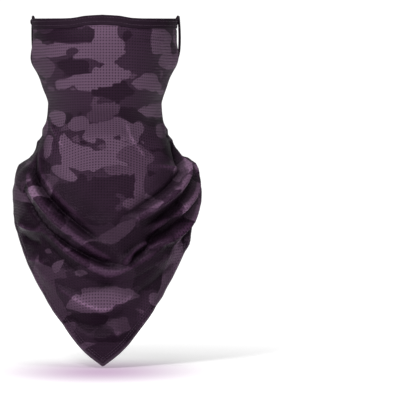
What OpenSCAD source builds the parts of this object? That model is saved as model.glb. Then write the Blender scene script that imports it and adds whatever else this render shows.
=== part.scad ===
// Ear-loop neck gaiter with a triangular bib: a printed mesh-knit panel wrapped into a tube,
// bound at the top, round the ear edges and across the nape, with an elastic loop for each ear.
// Frame: origin where the top edge rests on the nose bridge, +X to the wearer's left,
// +Y towards the back of the head, +Z up. All sizes are in millimetres.

/* [Panel] */
// Drop from the nose bridge to the tip of the bib
tip_drop = 368; // [350:1:385]
// Drop from the nose bridge to the hem at the centre of the back
back_hem_drop = 166; // [158:1:175]
// Thickness of the knit panel
cloth_t = 1.2; // [1:0.1:1.4]
// Depth of the soft swags below the chin
swag_depth = 3; // [0:0.5:4]

/* [Binding] */
// Width of the binding on the top edge
top_binding_w = 9.5; // [8:0.5:11]
// Width of the binding down the ear edges and across the nape
nape_binding_w = 7; // [6:0.5:8]
// Thickness of the binding tape
tape_t = 0.8; // [0.6:0.1:0.9]

/* [Hem] */
// Depth of the turned-up hem
hem_w = 8; // [6:0.5:10]
// Thickness of the turned-up hem
hem_t = 1; // [0.8:0.1:1.2]

/* [Ear loops] */
// Width of the ear strap where it leaves the top corner
strap_w = 5.8; // [5:0.1:6.5]
// Width of the ear strap behind the ear
strap_w_back = 4.2; // [4:0.1:5]
// Thickness of the ear strap
strap_t = 2.6; // [2.4:0.1:3]

/* [Stitching] */
// Width of a row of thread
thread_w = 0.7; // [0.5:0.1:1]
// Height of a row of thread
thread_h = 0.5; // [0.4:0.1:0.6]

/* [Hidden] */

camo = [0.30, 0.23, 0.30];
trim = [0.14, 0.10, 0.15];
thread = [0.20, 0.15, 0.21];

// The body under the cloth, ring by ring from the nose down: height, half width,
// and how far behind the nose bridge the ring's front, widest point and back are.
RINGS = [
  [0, 76.5, 0, 98, 183],
  [-25, 75, -13, 98, 183],
  [-53, 70.5, -9, 97, 182],
  [-75, 66, -5, 97, 181],
  [-95, 60, 2, 98, 180],
  [-112, 61.5, 20, 101, 181],
  [-130, 69, 33, 104, 187],
  [-150, 82, 33, 107, 197],
  [-168, 95, 25, 108, 205],
  [-190, 98.5, 17, 106, 207],
  [-215, 97, 12, 105, 207],
  [-257, 93, 10, 105, 207],
  [-300, 80, 12, 105, 207],
  [-335, 70, 13, 105, 207],
  [-400, 64, 12, 105, 207]
];
// How square the rings are: 2 is an ellipse
ring_power = 2.5;

// Where the bound edge leaves the cheek and where the ear edge meets the nape, in degrees round
// from the nose
corner_turn = 102;
nape_turn = 125;
// The panel's upper edge: degrees round from the nose, height
UPPER_EDGE = [
  [0, 0], [9, -0.9], [19, -3.6], [26, -4], [102, -4], [105, -14], [110, -25],
  [117, -40], [125, -53], [150, -68], [180, -76]
];
// The panel's hem: degrees round from the tip, how far the drop has gone from back to tip
HEM_FALL = [
  [0, 1], [12, 0.925], [25, 0.81], [40, 0.655], [55, 0.46], [68, 0.325], [82, 0.225],
  [100, 0.12], [125, 0.045], [155, 0.008], [180, 0]
];
// Half of the gap between the panel's two edges at the back seam, in degrees
seam_gap = 0.1;
column_step = 6;
// Rows of the panel: a few lie close together under the binding and along the hem, so that the
// layers sewn there follow the panel
edge_rows = 3;
hem_rows = 2;
rows = 22;

// Distance from one swag to the next
swag_pitch = 56;

// Clear gap between layers that are sewn together
layer_gap = 0.15;
// How far the binding's fold stands past the edge that it covers
fold_out = 0.9;
leg_in = cloth_t / 2 + layer_gap;
leg_out = leg_in + tape_t;
thread_lift = 0.1;
// The turned-up hem lies a little further off the panel, because the hem curves more
hem_gap = 0.45;
hem_in = cloth_t / 2 + hem_gap;
hem_thread_lift = 0.3;
seam_thread_lift = 0.2;
// How far in from its edge each row of thread lies
top_needle_rows = [2.2, 6.8];
top_looper_row = [4.5];
nape_needle_rows = [1.6, 5.2];
nape_looper_row = [3.4];
hem_needle_rows = [hem_w - 4, hem_w - 1];
hem_looper_row = [hem_w - 2.5];
strap_row = 0.7;
// How far in the turned-up hem begins
hem_start = 0.6;
// Half the width of the back seam's thread, in degrees, and its clearance at both ends
seam_half = 1.4;
seam_clear = 1;
// The elastic's clearance inside the folded tape: at the tape's opening, at its fold and at its faces
elastic_open_gap = 0.5;
elastic_fold_gap = 0.2;
elastic_face_gap = 0.1;
elastic_colour = [0.1, 0.08, 0.1];
// How far the elastic and the stitching stop short of the strap's ends, in places of its list
elastic_short = 0.1;
stitching_short = 0.4;
// The strap narrows over this many places of its list
strap_taper = 6;
// A direction out from the head, which the strap's thickness follows
strap_out = [1, 0.15, 0];
// Bartacks: turn and height of each, half width in degrees, and height
top_bartack = [100.4, -8.2];
lower_bartack = [122.4, -54.2];
bartack_half = 0.8;
bartack_h = 2.4;
// Sections along the bound edges, from the middle to one end, and along half of the hem
edge_steps = 17;
hem_steps = 30;
// How much closer the nape edge's sections lie near the ear
nape_crowding = 1.35;

// The left ear strap's centre line, from the top corner round behind the ear to the nape
STRAP = [
  [76.4, 118.2, -4.6], [77, 122.5, -3.2], [77.6, 128, -2.2], [78.2, 134, -3], [78.6, 139.5, -7],
  [79, 145, -14], [79.2, 150, -23], [79, 153, -32], [78.2, 153.2, -40], [76.2, 150.6, -46.8],
  [73, 147.5, -51], [69.6, 145.6, -53.2]
];

function mix(a, b, k) = a + (b - a) * k;
function unit(p) = p / norm(p);

// A smooth curve through a table's rows: rows of x then values, x rising or falling
function slope(t, i, c) =
  i == 0 || i == len(t) - 1
    ? (t[min(i + 1, len(t) - 1)][c] - t[max(i - 1, 0)][c])
      / (t[min(i + 1, len(t) - 1)][0] - t[max(i - 1, 0)][0])
    : let (
        before = (t[i][c] - t[i - 1][c]) / (t[i][0] - t[i - 1][0]),
        after = (t[i + 1][c] - t[i][c]) / (t[i + 1][0] - t[i][0])
      )
      before * after <= 0 ? 0 : 2 * before * after / (before + after);
function span(t, x, i = 0) =
  i >= len(t) - 2 || (x - t[i + 1][0]) * (t[1][0] - t[0][0]) <= 0 ? i : span(t, x, i + 1);
function curve(t, x, c = 1) =
  let (
    i = span(t, x),
    w = t[i + 1][0] - t[i][0],
    k = min(max((x - t[i][0]) / w, 0), 1),
    m0 = slope(t, i, c) * w,
    m1 = slope(t, i + 1, c) * w
  )
  (2 * k * k * k - 3 * k * k + 1) * t[i][c] + (k * k * k - 2 * k * k + k) * m0
    + (3 * k * k - 2 * k * k * k) * t[i + 1][c] + (k * k * k - k * k) * m1;

// The panel's edges
function upper_z(turn) = abs(turn) <= corner_turn && abs(turn) >= 26 ? -4 : curve(UPPER_EDGE, abs(turn));
function hem_z(turn) = -mix(back_hem_drop, tip_drop, curve(HEM_FALL, abs(turn)));

// Swags hang in a V below the chin and fade out towards the face, the back and the hem
function swag(turn, z) =
  let (
    v = z - 95 * (1 - exp(-abs(turn) / 32)),
    fade = max(0, min(1, (-z - 125) / 30)) * max(0, min(1, (z - hem_z(turn) - 8) / 30))
  )
  swag_depth * fade * cos(v * 360 / swag_pitch);

// A point of the cloth's middle surface, turned round from the nose at a height
function ring_point(turn, z) =
  let (
    half = curve(RINGS, z, 1),
    mid = curve(RINGS, z, 3),
    deep = abs(turn) < 90 ? mid - curve(RINGS, z, 2) : curve(RINGS, z, 4) - mid,
    r = pow(pow(abs(sin(turn)) / half, ring_power) + pow(abs(cos(turn)) / deep, ring_power), -1 / ring_power)
  )
  [r * sin(turn), mid - r * cos(turn), z];
function outward(turn, z) =
  unit(cross(
    ring_point(turn + 1, z) - ring_point(turn - 1, z),
    ring_point(turn, z + 1) - ring_point(turn, z - 1)
  ));
function cloth(turn, z, lift = 0) = ring_point(turn, z) + outward(turn, z) * (lift + swag(turn, z));

// A place at a distance in from an edge, square to the edge and along the cloth. An edge is a list
// of turns and heights, and side is 1 when the cloth lies below it.
function edge_place(edge, i, d, side) =
  let (
    a = edge[max(i - 1, 0)],
    b = edge[min(i + 1, len(edge) - 1)],
    here = edge[i],
    per_turn = norm(ring_point(here[0] + 1, here[1]) - ring_point(here[0] - 1, here[1])) / 2,
    along = unit([(b[0] - a[0]) * per_turn, b[1] - a[1]])
  )
  [here[0] + side * d * along[1] / per_turn, here[1] - side * d * along[0]];
// Sweeps a profile of [distance in, lift] pairs along an edge
function edge_rings(edge, profile, side) = [
  for (i = [0:len(edge) - 1]) [
    for (p = profile) let (at = edge_place(edge, i, p[0], side)) cloth(at[0], at[1], p[1])
  ]
];

function side_faces(n, m) = [
  for (i = [0:n - 2], j = [0:m - 1])
    let (a = i * m + j, b = i * m + (j + 1) % m, c = a + m, d = b + m)
      each [[a, b, d], [a, d, c]]
];
function end_faces(n, m) = [
  for (j = [0:m / 2 - 2])
    let (a = j, b = j + 1, c = m - 2 - j, d = m - 1 - j)
      each concat([[a, c, b], [a, d, c]], [for (f = [[a, b, c], [a, c, d]]) f + (n - 1) * m * [1, 1, 1]])
];
// Skins a row of rings. A ring runs down one side and back up the other, so it has an even
// number of points, and its ends close rung by rung.
module skin(rings) {
  n = len(rings);
  m = len(rings[0]);
  all_faces = concat(side_faces(n, m), end_faces(n, m));
  polyhedron(points = [for (r = rings) each r], faces = all_faces, convexity = 6);
}
module mirrored() mirror([1, 0, 0]) children();

function bar(d, w, low, high) = [[d - w / 2, high], [d + w / 2, high], [d + w / 2, low], [d - w / 2, low]];
function channel(w) = [
  [-fold_out, leg_out], [w / 3, leg_out], [w * 2 / 3, leg_out], [w, leg_out],
  [w, leg_in], [w * 2 / 3, leg_in], [w / 3, leg_in], [-layer_gap, leg_in],
  [-layer_gap, -leg_in], [w / 3, -leg_in], [w * 2 / 3, -leg_in], [w, -leg_in],
  [w, -leg_out], [w * 2 / 3, -leg_out], [w / 3, -leg_out], [-fold_out, -leg_out]
];

// The three bound or turned edges of the panel
top_edge = [
  for (k = [-edge_steps:edge_steps]) let (turn = corner_turn * k / edge_steps) [turn, upper_z(turn)]
];
nape_start = 105.2;
nape_half = [for (k = [0:edge_steps]) mix(nape_start, 180, pow(k / edge_steps, nape_crowding))];
nape_edge = [
  for (t = nape_half) [t, upper_z(t)],
  for (k = [edge_steps - 1:-1:0]) [360 - nape_half[k], upper_z(360 - nape_half[k] - 360)]
];
hem_edge = [
  for (k = [-hem_steps:hem_steps]) let (turn = (180 - seam_gap) * k / hem_steps) [turn, hem_z(turn)]
];

// The columns of the panel, which has one at each corner of its upper edge and one at the tip
columns = [
  -180 + seam_gap, for (t = [-174:column_step:-126]) t, -nape_turn, -121, -117, -113.5, -110, -107, -105,
  -103.5, -corner_turn, for (t = [-96:column_step:96]) t, corner_turn, 103.5, 105, 107, 110, 113.5, 117,
  121, nape_turn, for (t = [126 + column_step:column_step:174]) t, 180 - seam_gap
];

function row_z(high, low, k) =
  k <= edge_rows ? high - top_binding_w * k / edge_rows
    : k >= rows - hem_rows ? low + hem_w * (rows - k) / hem_rows
    : mix(high - top_binding_w, low + hem_w, (k - edge_rows) / (rows - edge_rows - hem_rows));

module fabric_panel() {
  color(camo) skin([
    for (t = columns)
      let (high = upper_z(t), low = hem_z(t))
        [
          for (k = [0:rows]) cloth(t, row_z(high, low, k), cloth_t / 2),
          for (k = [rows:-1:0]) cloth(t, row_z(high, low, k), -cloth_t / 2)
        ]
  ]);
}

module turned_hem() {
  profile = [[hem_start, -hem_in], [hem_w / 2, -hem_in], [hem_w, -hem_in], [hem_w, -hem_in - hem_t],
    [hem_w / 2, -hem_in - hem_t], [hem_start, -hem_in - hem_t]];
  color(camo) skin(edge_rings(hem_edge, profile, -1));
}

module top_binding() {
  color(trim) skin(edge_rings(top_edge, channel(top_binding_w), 1));
}

module nape_binding() {
  color(trim) skin(edge_rings(nape_edge, channel(nape_binding_w), 1));
}

// Rows of thread on the outside or, with a negative side, on the inside of an edge's layers
module thread_rows(edge, rows_in, face, side, lift = thread_lift) {
  far = face > 0 ? [face + lift, face + lift + thread_h] : [face - lift - thread_h, face - lift];
  color(thread) for (d = rows_in) skin(edge_rings(edge, bar(d, thread_w, far[0], far[1]), side));
}
module top_needle_threads() thread_rows(top_edge, top_needle_rows, leg_out, 1);
module top_looper_thread() thread_rows(top_edge, top_looper_row, -leg_out, 1);
module nape_needle_threads() thread_rows(nape_edge, nape_needle_rows, leg_out, 1);
module nape_looper_thread() thread_rows(nape_edge, nape_looper_row, -leg_out, 1);
module hem_needle_threads() thread_rows(hem_edge, hem_needle_rows, cloth_t / 2, -1, hem_thread_lift);
module hem_looper_thread() thread_rows(hem_edge, hem_looper_row, -hem_in - hem_t, -1, hem_thread_lift);

// The flat seam that joins the panel's two edges at the centre of the back
module back_seam_thread(lift) {
  top_z = upper_z(180) - nape_binding_w - seam_clear;
  low_z = hem_z(180) + hem_w + seam_clear;
  color(thread) skin([
    for (k = [0:10])
      let (z = mix(top_z, low_z, k / 10))
        [
          cloth(180 - seam_half, z, lift + thread_h), cloth(180 + seam_half, z, lift + thread_h),
          cloth(180 + seam_half, z, lift), cloth(180 - seam_half, z, lift)
        ]
  ]);
}
module back_seam_outer_thread() back_seam_thread(cloth_t / 2 + seam_thread_lift);
module back_seam_inner_thread() back_seam_thread(-cloth_t / 2 - seam_thread_lift - thread_h);

// The ear strap: tape folded round a flat elastic, swept along the strap's centre line.
// The width lies in the plane of the loop and the thickness stands out from the head.
strap_steps = 33;
function strap_at(s) =
  let (i = min(floor(s), len(STRAP) - 2), k = s - i, p = STRAP, n = len(p) - 1,
    a = p[max(i - 1, 0)], b = p[i], c = p[i + 1], d = p[min(i + 2, n)])
  b + (c - a) * k / 2 + (2 * a - 5 * b + 4 * c - d) * k * k / 2 + (3 * b - a - 3 * c + d) * k * k * k / 2;
function strap_width(s) = mix(strap_w, strap_w_back, min(1, s / strap_taper));
function strap_ring(profile, s) =
  let (
    here = strap_at(s),
    along = unit(strap_at(min(s + 0.05, len(STRAP) - 1)) - strap_at(max(s - 0.05, 0))),
    out = unit(cross(along, cross(strap_out, along))),
    across = cross(out, along)
  )
  [for (p = profile(strap_width(s))) here + across * p[0] + out * p[1]];
module strap_sweep(profile, first, last) {
  skin([for (k = [0:strap_steps]) strap_ring(profile, mix(first, last, k / strap_steps))]);
}
// Profiles across the strap: [towards the ear, away from the head]
half_t = strap_t / 2;
core_half = half_t - tape_t - elastic_face_gap;
thread_low = half_t + thread_lift;
tape = function(w) [
  [w / 2, half_t], [0, half_t], [-w / 2, half_t], [-w / 2, -half_t], [0, -half_t], [w / 2, -half_t],
  [w / 2, -half_t + tape_t], [0, -half_t + tape_t], [-w / 2 + tape_t, -half_t + tape_t],
  [-w / 2 + tape_t, half_t - tape_t], [0, half_t - tape_t], [w / 2, half_t - tape_t]
];
core = function(w) [
  [w / 2 - elastic_open_gap, core_half], [-w / 2 + tape_t + elastic_fold_gap, core_half],
  [-w / 2 + tape_t + elastic_fold_gap, -core_half], [w / 2 - elastic_open_gap, -core_half]
];
row_of_thread = function(w) [
  [w / 2 - strap_row, thread_low + thread_h], [w / 2 - strap_row - thread_w, thread_low + thread_h],
  [w / 2 - strap_row - thread_w, thread_low], [w / 2 - strap_row, thread_low]
];
strap_end = len(STRAP) - 1;

module left_ear_strap() color(trim) strap_sweep(tape, 0, strap_end);
module right_ear_strap() mirrored() left_ear_strap();
module left_ear_elastic() color(elastic_colour) strap_sweep(core, elastic_short, strap_end - elastic_short);
module right_ear_elastic() mirrored() left_ear_elastic();
module left_strap_stitching()
  color(thread) strap_sweep(row_of_thread, stitching_short, strap_end - stitching_short);
module right_strap_stitching() mirrored() left_strap_stitching();

// A bartack: a dense bar of zigzag thread sewn through the binding beside a strap's end
module bartack(place) {
  low = leg_out + 2 * thread_lift + thread_h;
  high_z = place[1] + bartack_h / 2;
  low_z = place[1] - bartack_h / 2;
  color(thread) skin([
    for (t = [place[0] - bartack_half, place[0], place[0] + bartack_half])
      [
        cloth(t, high_z, low + thread_h), cloth(t, low_z, low + thread_h),
        cloth(t, low_z, low), cloth(t, high_z, low)
      ]
  ]);
}
module left_top_bartack() bartack(top_bartack);
module right_top_bartack() mirrored() left_top_bartack();
module left_lower_bartack() bartack(lower_bartack);
module right_lower_bartack() mirrored() left_lower_bartack();

fabric_panel();
turned_hem();
top_binding();
nape_binding();
left_ear_strap();
right_ear_strap();
left_ear_elastic();
right_ear_elastic();
left_strap_stitching();
right_strap_stitching();
left_top_bartack();
right_top_bartack();
left_lower_bartack();
right_lower_bartack();
top_needle_threads();
top_looper_thread();
nape_needle_threads();
nape_looper_thread();
hem_needle_threads();
hem_looper_thread();
back_seam_outer_thread();
back_seam_inner_thread();
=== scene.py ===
"""The camouflage ear-loop neck gaiter: cloth, bindings, straps and threads round the CAD frame.

Sizes are in millimetres until a mesh is made. The cloth is a function of two numbers: the turn in
degrees round from the nose, positive to the wearer's left, and the height, which is negative down.
"""

import math

import bpy
import numpy as np
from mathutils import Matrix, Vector


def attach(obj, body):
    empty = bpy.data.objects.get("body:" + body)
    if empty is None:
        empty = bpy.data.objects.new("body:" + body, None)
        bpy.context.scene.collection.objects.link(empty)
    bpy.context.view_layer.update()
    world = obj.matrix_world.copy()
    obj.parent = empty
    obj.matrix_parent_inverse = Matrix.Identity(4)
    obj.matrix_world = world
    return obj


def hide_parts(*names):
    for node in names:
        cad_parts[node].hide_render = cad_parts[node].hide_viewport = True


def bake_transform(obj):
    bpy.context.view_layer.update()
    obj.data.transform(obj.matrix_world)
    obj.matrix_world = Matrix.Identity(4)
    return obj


MM = 0.001

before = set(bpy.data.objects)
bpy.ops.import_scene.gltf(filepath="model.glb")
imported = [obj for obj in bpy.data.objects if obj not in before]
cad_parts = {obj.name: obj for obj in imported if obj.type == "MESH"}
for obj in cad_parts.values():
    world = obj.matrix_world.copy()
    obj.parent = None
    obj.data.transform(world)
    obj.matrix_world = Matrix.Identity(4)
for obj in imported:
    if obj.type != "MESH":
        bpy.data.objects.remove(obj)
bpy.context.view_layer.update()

# --- Camera, light and floor ----------------------------------------------------------------

CAMERA_TURN = 0.4
CAMERA_RISE = 2.2
CAMERA_DISTANCE = 5.0
CAMERA_LENS = 424.6
# What the camera looks at: to its right of the object, which stands in the left half of the frame
AIM_RIGHT = 0.1022
AIM_UP = -0.1928
AIM_DEPTH = 0.060
FLOOR_Z = -0.3705
LIGHT_TARGET = (0.0, 0.08, -0.17)


def aim(obj, target):
    """Turns a camera or light to look at a point."""
    direction = Vector(target) - obj.location
    obj.rotation_euler = direction.to_track_quat("-Z", "Y").to_euler()


def make_camera():
    """A camera turned and raised about the object, with no shift."""
    turn, rise = math.radians(CAMERA_TURN), math.radians(CAMERA_RISE)
    right = Vector((math.cos(turn), math.sin(turn), 0))
    ahead = Vector((-math.sin(turn), math.cos(turn), 0))
    height = (AIM_UP - AIM_DEPTH * math.sin(rise)) / math.cos(rise)
    target = right * AIM_RIGHT + ahead * AIM_DEPTH + Vector((0, 0, height))
    looking = ahead * math.cos(rise) - Vector((0, 0, math.sin(rise)))
    data = bpy.data.cameras.new("camera")
    data.lens = CAMERA_LENS
    camera = bpy.data.objects.new("camera", data)
    camera.location = target - looking * CAMERA_DISTANCE
    aim(camera, target)
    bpy.context.collection.objects.link(camera)
    bpy.context.scene.camera = camera


def area_light(name, place, size, watts):
    """A white square light aimed at the middle of the cloth."""
    data = bpy.data.lights.new(name, "AREA")
    data.size = size
    data.energy = watts
    light = bpy.data.objects.new(name, data)
    light.location = place
    aim(light, LIGHT_TARGET)
    bpy.context.collection.objects.link(light)


make_camera()
area_light("key", (-0.7, -1.5, 1.2), 0.45, 35)
area_light("fill", (1.4, -1.3, 0.4), 0.8, 5)
area_light("top", (0.0, -0.4, 1.8), 1.0, 16)
area_light("back", (-0.2, 2.4, 0.9), 3.6, 8)

# --- The cloth's shape ----------------------------------------------------------------------

# The body under the cloth: height, half width, and how far behind the nose bridge the ring's
# front, widest point and back are
RINGS = np.array([
    [-400, 64, 12, 105, 207], [-335, 70, 13, 105, 207], [-300, 80, 12, 105, 207],
    [-257, 93, 10, 105, 207], [-215, 97, 12, 105, 207], [-190, 98.5, 17, 106, 207],
    [-168, 95, 25, 108, 205], [-150, 82, 33, 107, 197], [-130, 69, 33, 104, 187],
    [-112, 61.5, 20, 101, 181], [-95, 60, 2, 98, 180], [-75, 66, -5, 97, 181],
    [-53, 70.5, -9, 97, 182], [-25, 75, -13, 98, 183], [0, 76.5, 0, 98, 183],
], float)
RING_POWER = 2.5
CORNER_TURN = 102
NAPE_START = 105.2
# The panel's upper edge: turn, height. It is level from the cheek to the ear corner.
CHEEK_TURN = 26
LEVEL_Z = -4
UPPER_EDGE = np.array([
    [0, 0], [9, -0.9], [19, -3.6], [26, -4], [102, -4], [105, -14], [110, -25], [117, -40],
    [125, -53], [150, -68], [180, -76],
], float)
# The panel's hem: turn, how far the drop has gone from back to tip
HEM_FALL = np.array([
    [0, 1], [12, 0.925], [25, 0.81], [40, 0.655], [55, 0.46], [68, 0.325], [82, 0.225],
    [100, 0.12], [125, 0.045], [155, 0.008], [180, 0],
], float)
BACK_HEM_DROP = 166
TIP_DROP = 368
SEAM_GAP = 0.1

# Length of cloth to one degree of turn, near enough for the folds
MM_PER_DEGREE = 1.6
# How far a ridge leans down for each millimetre that it stands out
DROOP = 0.12
# The depths over which that comes in, and the height above the hem that it needs
DROOP_DEPTHS = (130, 180)
DROOP_FROM_HEM = 30
FOLD_GAIN = 1.3
# A lower number makes a fold's crest sharper
FOLD_SHARPNESS = 1.35
# The share of a fold's line over which it grows from nothing at each end
FOLD_ENDS = 0.22
FOLD_BEYOND = 20

# How far the cloth bows out beside each ear, at what height, and the turns over which that comes in
BOW_OUT = 6.5
BOW_Z = -46
BOW_TURNS = (42, 76)
# How far it draws in at the sides where the neck meets the shoulders
NECK_IN = 3.5
NECK_Z = -148
NECK_TURNS = (46, 76)
# How far up and down both reach, and the turns over which they fade behind the ears
SIDE_REACH = 15
SIDE_FADE = (106, 118)

# Small waves all over the cloth: the size of the broad and the small ones along and down it, their
# lean, and their height where the cloth is taut and how much more it is where it is slack
BROAD_WAVES = (26, 17)
SMALL_WAVES = (14, 9)
WAVE_LEAN = 0.35
WAVES_TAUT = 0.35
WAVES_SLACK = 0.55
SLACK_DEPTHS = (100, 170)
# Degrees from the back seam over which the waves die out
SEAM_CALM = 25

# The hem: its lower stitch row, the puckers between edge and stitches, the groove that the stitches
# press in, and how the folds flatten towards the edge
HEM_STITCH = 7.0
PUCKER_RISE = 0.5
PUCKER_SIZE = (5.5, 30)
PUCKER_DEPTHS = (6, 16)
GROOVE_DEPTH = 0.5
GROOVE_HALF = 1.3
HEM_FOLD_SHARE = 0.35
HEM_FLATTENS = 24

# Places below are a turn and a height. A fold has a rise, which is negative in a valley, and a reach
# above and below its line.
LINE_POINTS = 40

# Lines hung from a place on the wearer's right and one on the left, with the lowest place between:
# rise, reach above, reach below, right, lowest, left, roundness from 1 for a V to 2 for a U
SWAGS = [
    (5.6, 10, 6, (-62, -170), (4, -270), (56, -215), 1.5),
    (-2.6, 6, 8, (-52, -205), (4, -283), (45, -248), 1.6),
    (3.8, 13, 8, (-52, -250), (0, -308), (26, -284), 1.5),
    (-2.8, 7, 7, (-40, -270), (-12, -290), (14, -275), 1.6),
    (-2.6, 8, 10, (-32, -306), (-5, -326), (20, -300), 1.5),
    (2.0, 8, 8, (-16, -330), (0, -339), (16, -328), 1.5),
]

# Lines from one place to another: rise, reach above, reach below, start, end, sag
RIDGES = [
    # the wearer's right: the crest that ends the taut face panel, and the ridges under it
    (3.0, 18, 4, (-62, -132), (-10, -218), 4),
    (-6.0, 4.5, 4.5, (-66, -140), (2, -240), 8),
    (6.0, 5, 4, (-60, -160), (9, -258), 12),
    (-5.5, 3.5, 3.5, (-62, -172), (16, -263), 22),
    # the thin ridge that hangs across the side of the neck from the wearer's left shoulder
    (2.6, 3.5, 3, (125, -137), (28, -155), 14),
    # the pocket under the chin and the pinched ridges in it
    (-9.0, 8, 9, (55, -198), (13, -257), 5),
    (6.5, 2.8, 2.4, (12, -263), (31, -238), -5),
    (5.5, 2.6, 2.4, (26, -247), (47, -236), -3),
    # small creases at the wearer's right of the bib, and the long one that crosses it
    (3.0, 4, 3, (-64, -217), (-36, -226), 3),
    (2.0, 4, 3, (-56, -257), (-34, -261), -2),
    (-2.5, 4, 4, (-60, -231), (-40, -239), 2),
    (3.0, 9, 9, (-2, -287), (50, -245), 3),
    (-2.5, 6, 6, (18, -297), (52, -257), 2),
    # the neck and face
    (2.0, 4, 2.5, (15, -106), (35, -153), 3),
    (1.6, 4, 3, (-54, -114), (-30, -146), -5),
    (-0.9, 3, 3, (5, -28), (44, -21), 2),
    (0.7, 4, 2, (-6, -38), (9, -40), 1),
]

# Folds that fan out from the wearer's left shoulder, turn about a valley and a ridge
FAN_COUNT = 8
FAN_START = ((84, -128), (128, -164))
FAN_END = ((9, -214), (52, -252))
FAN_VALLEY = -4.8
FAN_RIDGE = 5.6
FAN_REACH = 4.2
FAN_SAG = 6

# Gentle rolls at both sides of the neck and behind it: rise, reach, start, end
ROLLS = [
    (1.6, 4.5, (62, -117), (98, -124)), (-1.7, 4, (66, -127), (104, -131)),
    (2.0, 5, (70, -135), (128, -133)), (2.2, 6, (74, -165), (136, -147)),
    (-1.8, 5, (80, -175), (124, -156)), (1.6, 8.5, (138, -102), (180, -112)),
    (-1.4, 8, (136, -124), (180, -132)),
]


def swag_line(right, lowest, left, roundness):
    """A line that hangs from two places and has its lowest place between them."""
    share = np.linspace(-1, 1, LINE_POINTS)[:, None]
    hung = np.where(share < 0, right, left)
    reach = np.abs(share) ** np.array([1, roundness])
    return np.array(lowest) + (hung - np.array(lowest)) * reach


def ridge_line(start, end, sag):
    """A line from one place to another that sags in its middle."""
    share = np.linspace(0, 1, LINE_POINTS)[:, None]
    dip = 4 * sag * share * (1 - share)
    return np.array(start) * (1 - share) + np.array(end) * share - dip * [0, 1]


def between(pair, share):
    return np.array(pair[0]) * (1 - share) + np.array(pair[1]) * share


def all_folds():
    """Every fold as rise, reach above, reach below and line."""
    folds = [(*fold[:3], swag_line(*fold[3:])) for fold in SWAGS]
    folds += [(*fold[:3], ridge_line(*fold[3:])) for fold in RIDGES]
    for k in range(FAN_COUNT):
        share = k / (FAN_COUNT - 1)
        rise = FAN_RIDGE if k % 2 else FAN_VALLEY
        line = ridge_line(between(FAN_START, share), between(FAN_END, share), FAN_SAG)
        folds.append((rise, FAN_REACH, FAN_REACH, line))
    for rise, reach, start, end in ROLLS:
        line = ridge_line(start, end, 0)
        folds += [(rise, reach, reach, line * [side, 1]) for side in (-1, 1)]
    return folds


FOLDS = all_folds()


def table_curve(table, x, column=1):
    """A smooth curve through a table's rows that never overshoots them."""
    xs, ys = table[:, 0], table[:, column]
    rate = np.diff(ys) / np.diff(xs)
    before, after = rate[:-1], rate[1:]
    product = before * after
    total = np.where(product > 0, before + after, 1)
    slope = np.concatenate([rate[:1], np.where(product > 0, 2 * product / total, 0), rate[-1:]])
    i = np.clip(np.searchsorted(xs, x) - 1, 0, len(xs) - 2)
    width = xs[i + 1] - xs[i]
    k = np.clip((x - xs[i]) / width, 0, 1)
    start = (2 * k**3 - 3 * k**2 + 1) * ys[i] + (k**3 - 2 * k**2 + k) * slope[i] * width
    return start + (3 * k**2 - 2 * k**3) * ys[i + 1] + (k**3 - k**2) * slope[i + 1] * width


def upper_z(turn):
    turn = np.abs(turn)
    level = (turn >= CHEEK_TURN) & (turn <= CORNER_TURN)
    return np.where(level, LEVEL_Z, table_curve(UPPER_EDGE, turn))


def hem_z(turn):
    return -(BACK_HEM_DROP + (TIP_DROP - BACK_HEM_DROP) * table_curve(HEM_FALL, np.abs(turn)))


def body_point(turn, z):
    """A point of the smooth body that the cloth lies on."""
    half = table_curve(RINGS, z, 1)
    middle = table_curve(RINGS, z, 3)
    angle = np.radians(turn)
    ahead = middle - table_curve(RINGS, z, 2)
    behind = table_curve(RINGS, z, 4) - middle
    deep = np.where(np.cos(angle) > 0, ahead, behind)
    across = (np.abs(np.sin(angle)) / half) ** RING_POWER
    along = (np.abs(np.cos(angle)) / deep) ** RING_POWER
    r = (across + along) ** (-1 / RING_POWER)
    return np.stack([r * np.sin(angle), middle - r * np.cos(angle), z], -1)


def smooth(x, low, high):
    """0 below low, 1 above high, and a smooth step between."""
    k = np.clip((x - low) / (high - low), 0, 1)
    return k * k * (3 - 2 * k)


def hump(x, middle, reach):
    """1 at the middle, falling smoothly to nothing on both sides."""
    return np.exp(-(((x - middle) / reach) ** 2))


def normals_of(point, turn, z):
    """Outward unit normals of a surface given as a function of turn and height."""
    across = point(turn + 0.3, z) - point(turn - 0.3, z)
    up = point(turn, z + 0.5) - point(turn, z - 0.5)
    normal = np.cross(across, up)
    return normal / np.linalg.norm(normal, axis=-1, keepdims=True)


def through(points, count):
    """A smooth line of count points through a few."""
    points = np.array(points, float)
    held = np.vstack([2 * points[0] - points[1], points, 2 * points[-1] - points[-2]])
    s = np.linspace(0, len(points) - 1, count)
    i = np.minimum(s.astype(int), len(points) - 2)
    k = (s - i)[:, None]
    a, b, c, d = held[i], held[i + 1], held[i + 2], held[i + 3]
    curve = (2 * a - 5 * b + 4 * c - d) * k**2 + (3 * b - a - 3 * c + d) * k**3
    return b + ((c - a) * k + curve) / 2


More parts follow.
